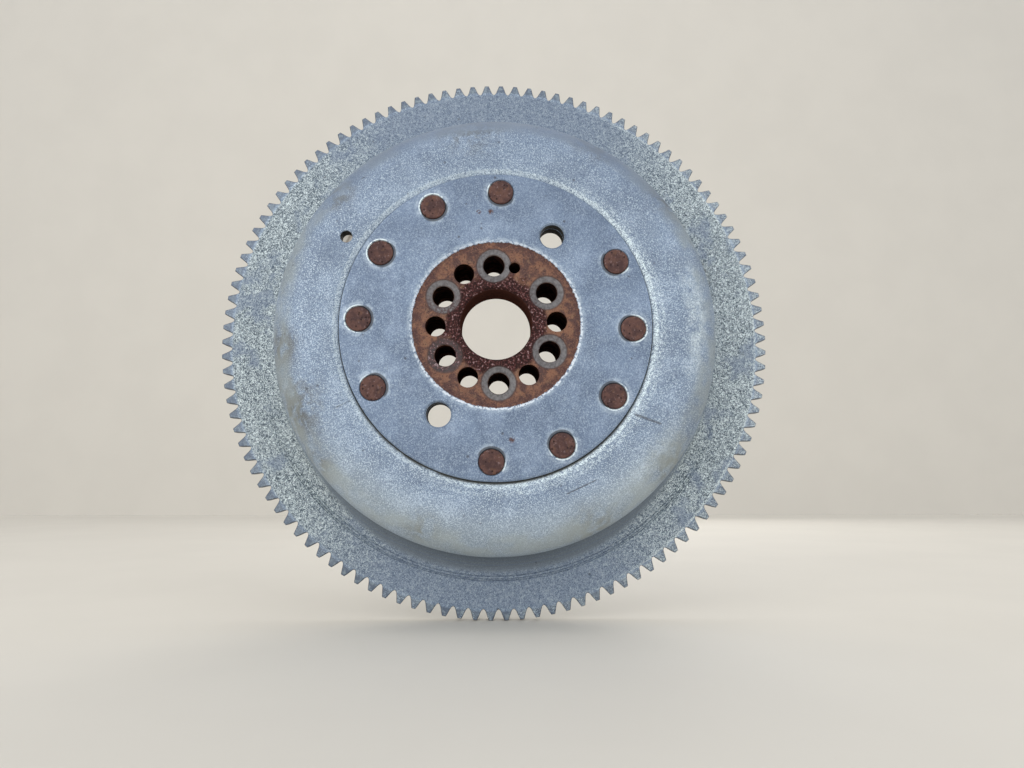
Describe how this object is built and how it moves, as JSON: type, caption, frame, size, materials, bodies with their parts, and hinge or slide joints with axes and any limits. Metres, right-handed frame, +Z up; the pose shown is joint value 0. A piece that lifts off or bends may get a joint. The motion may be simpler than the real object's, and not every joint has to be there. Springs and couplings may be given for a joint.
{
  "type": "flywheel",
  "caption": "Engine flywheel: a zinc-coated pressed cup with starter gear teeth in its rim, a hub riveted in its crown, bolt and puller holes, and arc magnets inside.",
  "frame": {"origin": "on the wheel's axis, in the hub's flat rear face where the crankshaft's end seats", "axes": "+Y along the axis toward the crankshaft, so the crown and its rivets face -Y; +Z up with the wheel standing on edge; +X completes the frame"},
  "size_m": [0.2946, 0.0468, 0.2946],
  "materials": {
    "zinc_cup": "mottled zinc coating, matte",
    "zinc_hub": "smooth zinc coating with bare rusty centre",
    "rivet_steel": "rusty",
    "magnet_ferrite": "matte",
    "cage_plastic": "matte",
    "sleeve_steel": "satin"
  },
  "bodies": {
    "root": {"rotor_yoke": "zinc_cup", "hub": "zinc_hub", "magnet_cage": "cage_plastic", "magnet_sleeve": "sleeve_steel", "rivet_01": "rivet_steel", "rivet_02": "rivet_steel", "rivet_03": "rivet_steel", "rivet_04": "rivet_steel", "rivet_05": "rivet_steel", "rivet_06": "rivet_steel", "rivet_07": "rivet_steel", "rivet_08": "rivet_steel", "rivet_09": "rivet_steel", "rivet_10": "rivet_steel", "magnet_01": "magnet_ferrite", "magnet_02": "magnet_ferrite", "magnet_03": "magnet_ferrite", "magnet_04": "magnet_ferrite", "magnet_05": "magnet_ferrite", "magnet_06": "magnet_ferrite", "magnet_07": "magnet_ferrite", "magnet_08": "magnet_ferrite", "magnet_09": "magnet_ferrite", "magnet_10": "magnet_ferrite", "magnet_11": "magnet_ferrite", "magnet_12": "magnet_ferrite"}
  },
  "joints": []
}
